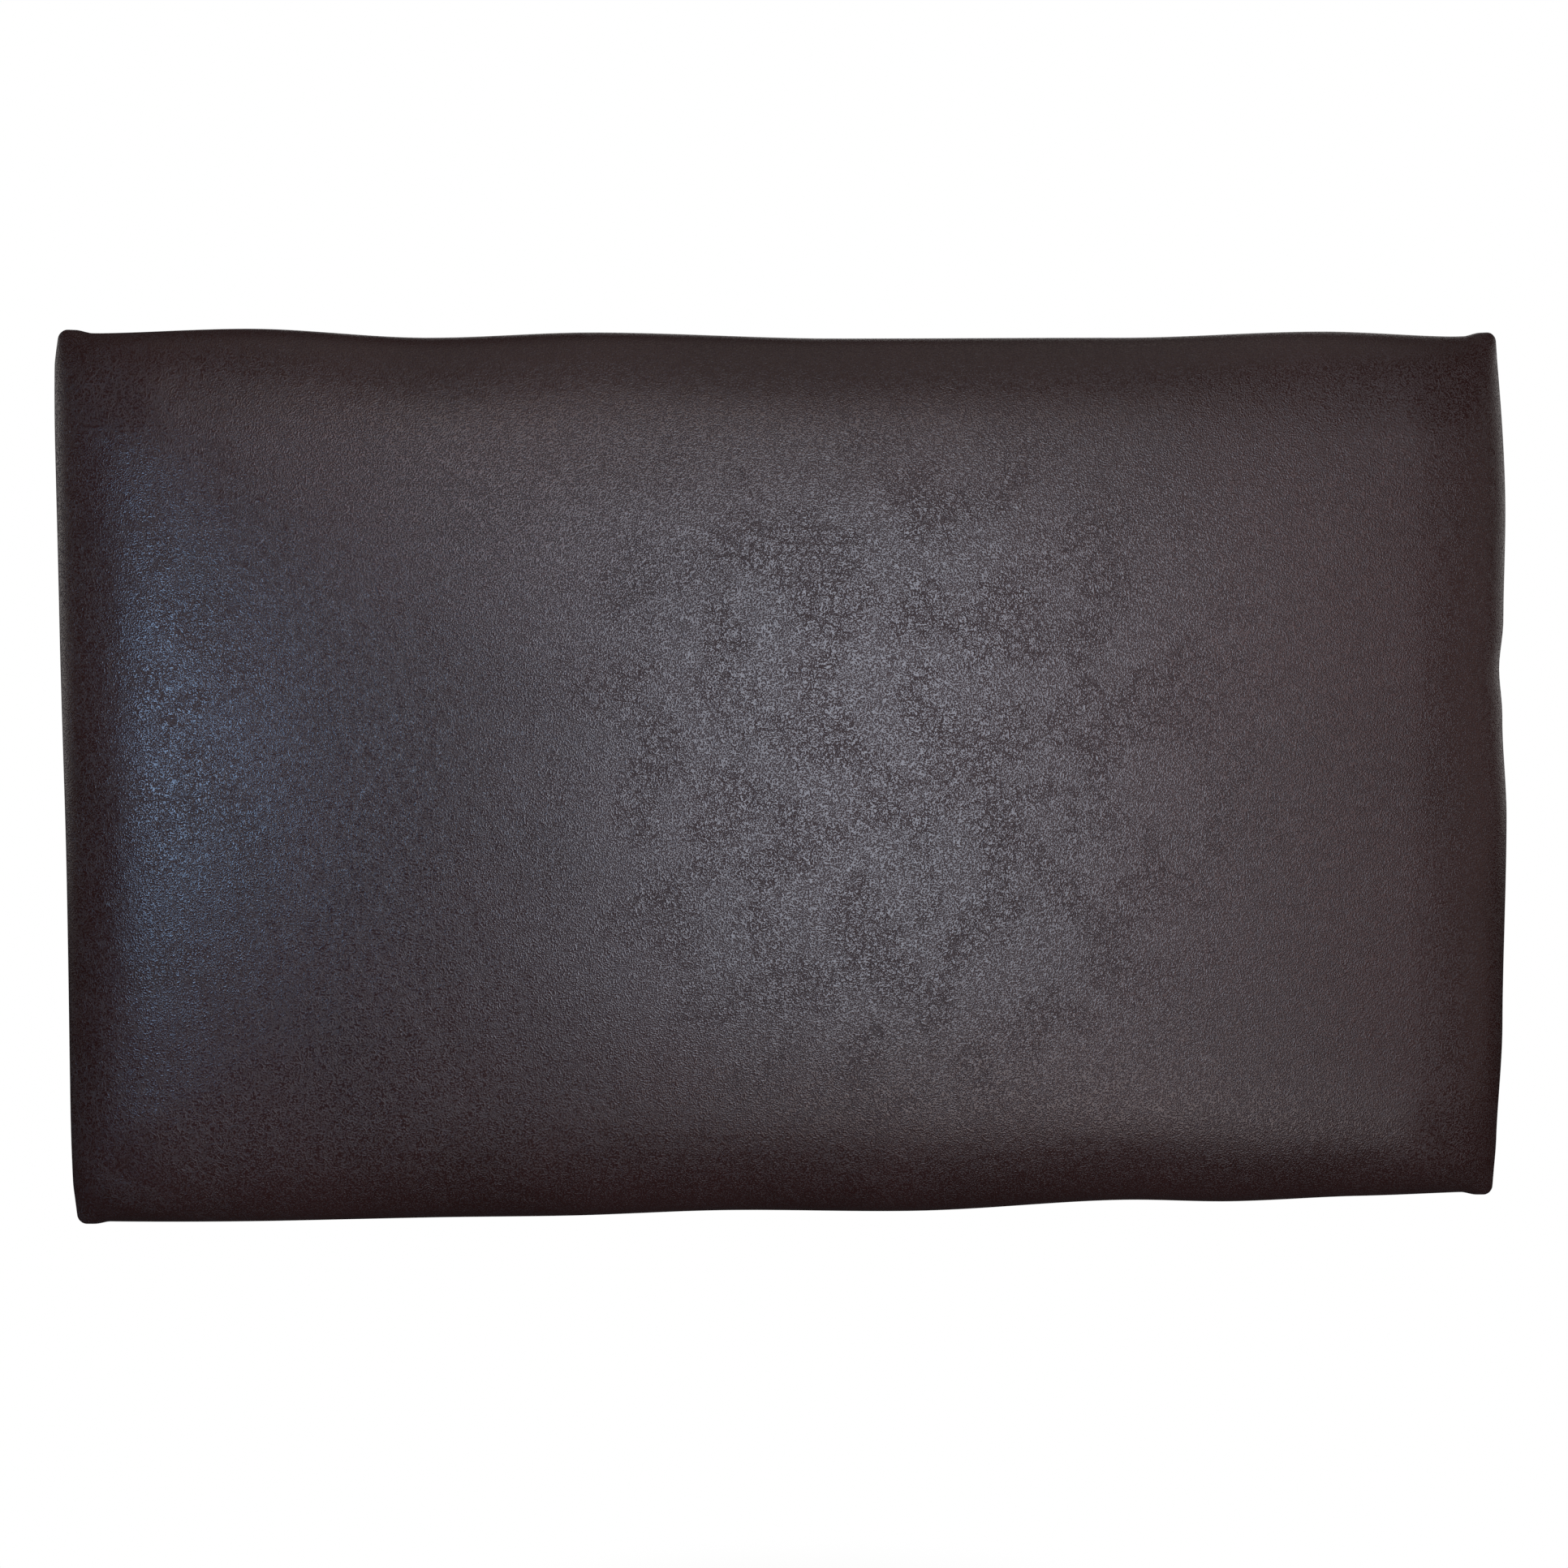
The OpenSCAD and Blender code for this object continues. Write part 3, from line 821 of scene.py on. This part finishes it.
NODE_FINISHES = {
    plywood: ["backing_board"],
    firm_foam: ["base_foam"],
    extruded_aluminium: ["wall_rail_top", "wall_rail_bottom", "panel_rail_top", "panel_rail_bottom"],
    zinc_steel: ["rail_bolts", "rail_washers", "tee_nuts", "bumper_washers", "bumper_screws"],
    staple_steel: ["cover_staples"],
    bumper_rubber: [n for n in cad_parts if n.startswith("bumper_") and n.count("_") == 2],
}


def finish_nodes():
    for make, nodes in NODE_FINISHES.items():
        material = make()
        for node in nodes:
            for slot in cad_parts[node].material_slots:
                slot.material = material


# ---- Floor, light and world --------------------------------------------------------------------

FLOOR_Z = -0.9
FLOOR_RADIUS = 25.0
FLOOR_SIDES = 96
# The floor is lit as it is near the pad and fades into the white of the world further out.
FLOOR_FADE = (0.35, 1.05)
# What the floor throws back up at the pad, less than it shows, so that the pad's underside stays dark.
FLOOR_BOUNCE = (0.06, 0.05, 0.05)


def add_floor():
    angles = np.linspace(0, 2 * math.pi, FLOOR_SIDES + 1)[:-1]
    ring = np.stack([np.cos(angles), np.sin(angles), np.zeros(FLOOR_SIDES)], axis=-1)
    floor = new_piece("floor", ring * FLOOR_RADIUS, [list(range(FLOOR_SIDES))])
    floor.location.z = FLOOR_Z
    s = Shader("floor")
    speckle = s.noise(s.where, 30.0, 4.0)
    pale = s.blend(speckle, rgb(0.80, 0.80, 0.80), rgb(0.84, 0.84, 0.83))
    is_seen = s.add("LightPath").outputs["Is Camera Ray"]
    s.finish(Base_Color=s.blend(is_seen, rgb(*FLOOR_BOUNCE), pale), Roughness=0.85)
    away = s.add("VectorMath", {"operation": "LENGTH"}, in_0=s.where).outputs["Value"]
    seen = s.math("MULTIPLY", s.between(away, *FLOOR_FADE), is_seen)
    white = s.add("Emission", Strength=1.0, Color=rgb(1, 1, 1))
    mix = s.add("MixShader", in_0=seen, in_1=s.surface.outputs[0], in_2=white.outputs[0])
    s.tree.links.new(mix.outputs[0], s.tree.nodes["Material Output"].inputs[0])
    floor.data.materials.append(s.material)


# Soft panels of light that face the pad's middle: azimuth from straight ahead, elevation and distance,
# then width and height, watts and colour.
LIGHTS = {
    "window_left": [(-38, 0, 2.2), (0.42, 0.6), 7.6, (0.42, 0.65, 1.0)],
    "window_middle": [(6, 1, 2.2), (0.85, 1.6), 23.0, (0.80, 0.86, 1.0)],
    "window_high": [(0, 35, 2.2), (1.7, 0.7), 5.3, (1.0, 0.9, 0.92)],
    "window_upper_left": [(-14, 18, 2.2), (0.42, 0.42), 1.7, (0.95, 0.85, 1.0)],
    "room_low": [(20, -33, 1.45), (0.8, 0.4), 2.3, (1.0, 0.9, 0.92)],
    "room_right": [(31, 2, 2.2), (0.9, 1.6), 4.6, (1.0, 0.8, 0.84)],
    "room_far_right": [(66, 0, 2.2), (0.9, 1.4), 1.2, (1.0, 0.8, 0.76)],
    "fill_above": [(27, 78, 2.25), (2.4, 2.0), 4.2, (1.0, 0.96, 0.93)],
    "fill_left": [(-114, 12, 2.6), (1.6, 1.4), 3.5, (1.0, 0.98, 0.96)],
    "fill_right": [(114, 12, 2.6), (1.6, 1.4), 3.5, (1.0, 0.98, 0.96)],
    "fill_behind": [(167, 20, 2.85), (3.2, 2.4), 16.0, (1.0, 0.98, 0.96)],
}
ROOM_LIGHT = (0.05, 0.04, 0.04)


def add_lights():
    for name, (place, size, watts, color) in LIGHTS.items():
        light = bpy.data.lights.new(name, "AREA")
        light.shape = "RECTANGLE"
        light.size, light.size_y = size
        light.energy = watts
        light.color = color
        azimuth, elevation = math.radians(place[0]), math.radians(place[1])
        level = math.cos(elevation)
        toward = Vector(
            (math.sin(azimuth) * level, -math.cos(azimuth) * level, math.sin(elevation))
        )
        panel = bpy.data.objects.new(name, light)
        panel.location = toward * place[2]
        panel.rotation_euler = (-toward).to_track_quat("-Z", "Y").to_euler()
        bpy.context.collection.objects.link(panel)


def add_world():
    """White where the camera looks, and a dimmer room for all else."""
    world = bpy.data.worlds.new("world")
    bpy.context.scene.world = world
    world.use_nodes = True
    nodes, links = world.node_tree.nodes, world.node_tree.links
    room = nodes["Background"]
    room.inputs["Color"].default_value = rgb(*ROOM_LIGHT)
    white = nodes.new("ShaderNodeBackground")
    white.inputs["Color"].default_value = rgb(1, 1, 1)
    path = nodes.new("ShaderNodeLightPath")
    mix = nodes.new("ShaderNodeMixShader")
    links.new(path.outputs["Is Camera Ray"], mix.inputs[0])
    links.new(room.outputs[0], mix.inputs[1])
    links.new(white.outputs[0], mix.inputs[2])
    links.new(mix.outputs[0], nodes["World Output"].inputs[0])


# ---- Build -------------------------------------------------------------------------------------

bpy.context.scene.view_settings.view_transform = "Standard"
build_cover()
build_strike_foam()
build_wadding()
for side in ("top", "bottom", "left", "right"):
    build_edge_strip("edge_strip_" + side)
finish_nodes()
add_floor()
add_lights()
add_world()
